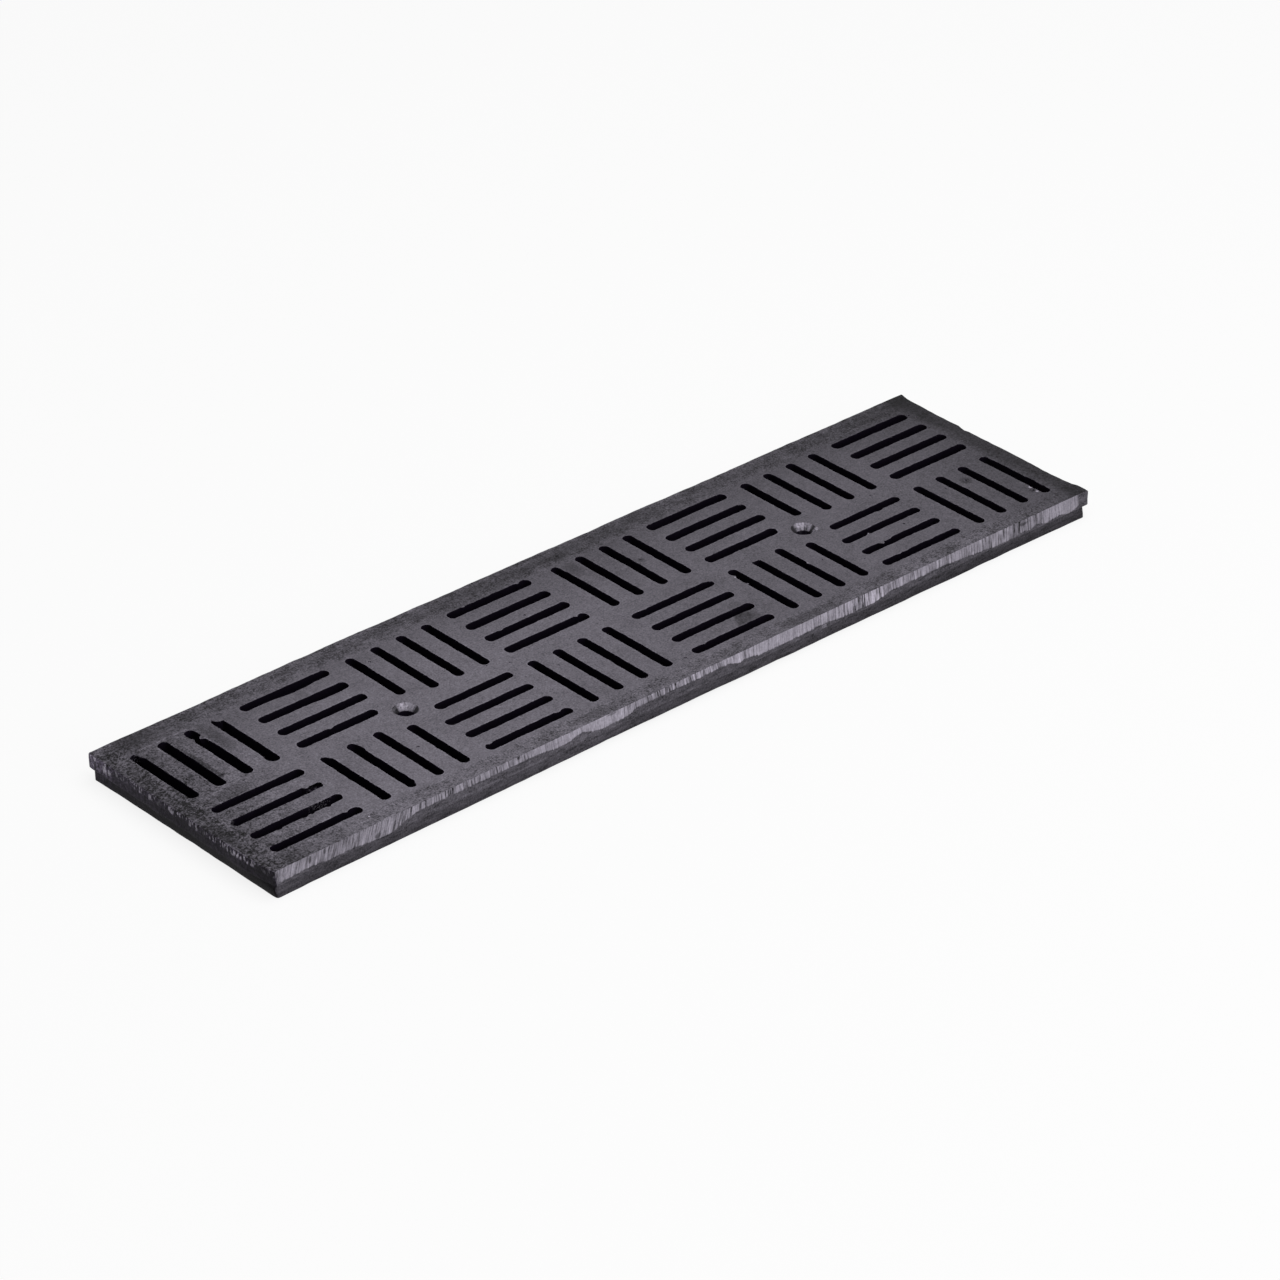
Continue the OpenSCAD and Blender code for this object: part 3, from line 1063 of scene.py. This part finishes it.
def groundFace(at):
    # tone, reach and height of the ground band on the near face, with slanting strokes
    x, z = at.x, at.z
    lean = 0.38 - x.rises(-178, -140) * 0.34
    slanted = at.place.node("CombineXYZ", {}, {0: (x - (z - topZ) * lean) * mm, 1: 0.0, 2: z * (mm * 0.1)})
    streak = slanted.grain(1.15, 6, 2.0, 0.75)
    comb = slanted.grain(3.6, 7, 1.0, 0.5)
    under = z - (topZ - curveOf(x, groundBand["depths"], 10)) + streak * 1.6 + comb * 1.0
    band = under.rises(-0.25, 0.35) * at.isNear * (-at.y).rises(halfWidth - 3, halfWidth - 2)
    band = band * (x + streak * 3).falls(243.4, 245.4) * (x + streak * 2).rises(-247.9, -246.7)
    strokes = 1 + (streak * 3.8 + comb * 0.8) * curveOf(x, ironTones["strokes"], 2) + at.fine * 1.0
    nicks = slanted.grain(1.6, 10, 1.0, 0.5).rises(0.14, 0.26)
    nicks = nicks * (z + at.speckle * 3).rises(topZ - 2.2, topZ - 0.8)
    tone = curveOf(x, levelsOf(ironTones["ground"]), 0.4) * (ironTones["groundGain"] * strokes)
    return tone * (1 - nicks * 0.45), band, streak * 1.6 + comb * 0.6


def addSideSpots(value, at):
    for spotX, spotZ, halfX, halfZ, strength in sideSpots:
        across = (at.x - at.z * 0.2 - (spotX - spotZ * 0.2)) * (1 / halfX)
        upward = (at.z - spotZ) * (1 / halfZ)
        reach = across * across + upward * upward + at.speckle * 3
        value = value * (1 - reach.falls(0.2, 1.4) * at.isNear * strength)
    return value


def paintedSlotShade(at):
    # painted shade: slots and pits are near-black all the way down, apart from specks of metal left in
    # them, and so are the bores
    z = at.z
    deep = z.rises(skirtHeight - 0.4, skirtHeight + 0.8) * at.crowned.falls(topZ, topZ + 0.1)
    dark = (1 - at.isFlat) * deep * at.inField * at.outHole.rises(7.0, 8.0)
    specks = at.place.grain(0.8, 12, 1.0, 0.6).rises(0.02, 0.14) * z.rises(topZ - 5, topZ - 3)
    for atX, atY, halfX, halfY in leftovers:
        across = (at.x - atX) * (1 / halfX)
        upward = (at.y - atY) * (1 / halfY)
        dark = dark * (1 - specks * (across * across + upward * upward).falls(0.5, 1.1))
    return dark.most(at.outHole.falls(3.5, 3.9) * z.rises(2, 5))


def awayFrom(at, spotX, spotY, reach):
    x, y = at.x - spotX, at.y - spotY
    return (x * x + y * y) * (1 / reach ** 2)


def sinkFace(at):
    # tone and reach of the machined countersinks, bright on the side that faces the lamps
    side = at.x.node("Math", {"operation": "SIGN"}, {0: at.x})
    radius = at.outHole.most(0.5)
    outX = at.fromHole * side / radius
    outY = at.y / radius
    turned = at.place.node("CombineXYZ", {}, {0: outX, 1: outY, 2: at.x * 0.01})
    radial = turned.node("TexNoise", {}, {"Vector": turned, "Scale": 4.0, "Detail": 2.0}) - 0.5
    tone = lightness(ironTones["sink"]) * (0.1 + (outX * 0.66 + outY * 0.75).rises(0.45, 0.85))
    sinkFloor = topZ - holeForm["sinkDepth"]
    cone = at.outHole.falls(5.9, 6.5) * (1 - at.isFlat) * at.z.rises(sinkFloor - 0.6, sinkFloor)
    return tone * (1 + radial * 2 + at.fine * 2 + at.speckle * 3), cone


def addPaintedHighlights(value, at):
    # painted highlights: brighter where the slots' rounded rims tilt, and glints on bare spots of metal
    rimHighlight = at.facingUp.falls(0.968, 0.99) * at.isFlat * at.inField * (1 - at.mottle * 0.6)
    value = value * (1 + rimHighlight * 0.22)
    for spotX, spotY, reach in glints:
        away = awayFrom(at, spotX, spotY, reach) + at.speckle * 2
        value = value + away.falls(0.3, 1.3) * at.isTop * 0.3
    return value


def addBurrs(value, at):
    for spotX, spotY, reach, level in burrs:
        away = awayFrom(at, spotX, spotY, reach) + at.speckle * 4
        burr = away.falls(0.4, 1.2) * at.z.rises(topZ - 3, topZ - 2)
        value = value.towards(lightness(level) * (1 + at.fine * 4), burr)
    return value


def makeCastIron():
    material, wire = newMaterial("castIron")
    at = Surface(wire)
    leftShade, bright = paintedLeftEndShade(at)
    groundTone, band, strokeHeight = groundFace(at)
    sinkTone, cone = sinkFace(at)
    # the left end takes its painted shade here
    value = outerTone(at) * (1 - at.isLeft + leftShade * at.isLeft)
    value = value.towards(walkingTone(at), at.isTop).towards(groundTone, band)
    value = addPaintedHighlights(addSideSpots(value, at), at).towards(sinkTone, cone)
    value = addBurrs(value, at)
    tint = wire.node("Mix", {"data_type": "RGBA"}, {
        0: at.isLeft * (1 - bright), 6: (*ironTones["tint"], 1), 7: (*ironTones["darkEndTint"], 1),
    }, 2)
    colour = wire.node("VectorMath", {"operation": "SCALE"}, {0: tint, "Scale": value.most(0.001)})
    height = at.fine * 0.6 + at.speckle * 0.8 + at.cloud * 1.2
    height = height.towards(strokeHeight, band * 0.8)
    iron = wire.node("BsdfPrincipled", {}, {
        "Base Color": colour,
        "Roughness": 0.68 + at.fine * 0.2 - band * 0.22 - cone * 0.2,
        "Metallic": 0.1 + band * 0.35 + cone * 0.3,
        "Specular IOR Level": 0.1,
        "Normal": wire.node("Bump", {}, {"Strength": 0.6, "Distance": 0.00035, "Height": height}),
    })
    # the painted shade in the slots, pits and bores
    depths = wire.node("BsdfPrincipled", {}, {
        "Base Color": (*ironTones["depths"], 1), "Roughness": 0.9, "Specular IOR Level": 0.0,
    })
    finish = wire.node("MixShader", {}, {0: paintedSlotShade(at), 1: iron, 2: depths})
    wire.node("OutputMaterial", {}, {"Surface": finish})
    return material


# Studio: floor, lamps, world and camera

studio = {
    "floorSize": 8.0,
    "floorShade": 0.45,
    "floorGlow": 0.85,
    "ambient": 0.18,
    "lamps": (
        # name, place, aim, size, watts
        ("skyPanel", (0.25, -0.5, 2.4), (0, 0, 0), 2.4, 48),
        ("frontPanel", (0.2, -2.6, 1.3), (0, 0, 0), 1.6, 15),
    ),
}


def rayTest(wire):
    paths = [wire.node("LightPath", {}, {}, output) for output in (0, 3, 6)]
    return paths[0].most(paths[1]).most(paths[2])


def makeFloor():
    pickNone()
    bpy.ops.mesh.primitive_plane_add(size=studio["floorSize"])
    floor = bpy.context.object
    floor.name = "studioFloor"
    material, wire = newMaterial("paleFloor")
    seen = rayTest(wire)
    shade = studio["floorShade"]
    level = shade + seen * (0.97 - shade)
    grey = wire.node("CombineXYZ", {}, {0: level, 1: level, 2: level})
    matte = wire.node("BsdfDiffuse", {}, {"Color": grey})
    glow = wire.node("Emission", {}, {"Color": (1, 1, 1, 1), "Strength": 1.0})
    wire.node("OutputMaterial", {}, {
        "Surface": wire.node("MixShader", {}, {0: seen * studio["floorGlow"], 1: matte, 2: glow}),
    })
    floor.data.materials.append(material)


def makeWorld():
    world = bpy.data.worlds.new("studioWorld")
    bpy.context.scene.world = world
    world.use_nodes = True
    world.node_tree.nodes.clear()
    wire = Wire(world.node_tree, None)
    strength = studio["ambient"] + rayTest(wire) * (1 - studio["ambient"])
    wire.node("OutputWorld", {}, {
        "Surface": wire.node("Background", {}, {"Color": (1, 1, 1, 1), "Strength": strength}),
    })


def makeLamps():
    for name, place, aim, size, watts in studio["lamps"]:
        bpy.ops.object.light_add(type="AREA", location=place)
        lamp = bpy.context.object
        lamp.name = name
        lamp.data.shape = "SQUARE"
        lamp.data.size = size
        lamp.data.energy = watts
        lamp.rotation_euler = (Vector(aim) - Vector(place)).to_track_quat("-Z", "Y").to_euler()


cameraForm = {
    "place": (-1.30138, -1.48348, 1.18247),
    "aim": (-0.0041, -0.0251, 0.015),
    "roll": -0.17,
    "lens": 139.3,
}


def makeCamera():
    place = Vector(cameraForm["place"])
    bpy.ops.object.camera_add(location=place)
    camera = bpy.context.object
    camera.name = "studioCamera"
    camera.rotation_euler = (Vector(cameraForm["aim"]) - place).to_track_quat("-Z", "Y").to_euler()
    camera.rotation_euler.rotate_axis("Z", math.radians(cameraForm["roll"]))
    camera.data.lens = cameraForm["lens"]
    camera.data.clip_end = 50
    bpy.context.scene.camera = camera


bpy.context.scene.view_settings.view_transform = "Standard"
makeCamera()
makeWorld()
makeLamps()
makeFloor()
print("studio set up")

grate = makeGrate()
grate.data.materials.clear()
grate.data.materials.append(makeCastIron())
print("cast iron finish on")

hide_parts("grate")
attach(grate, "root")
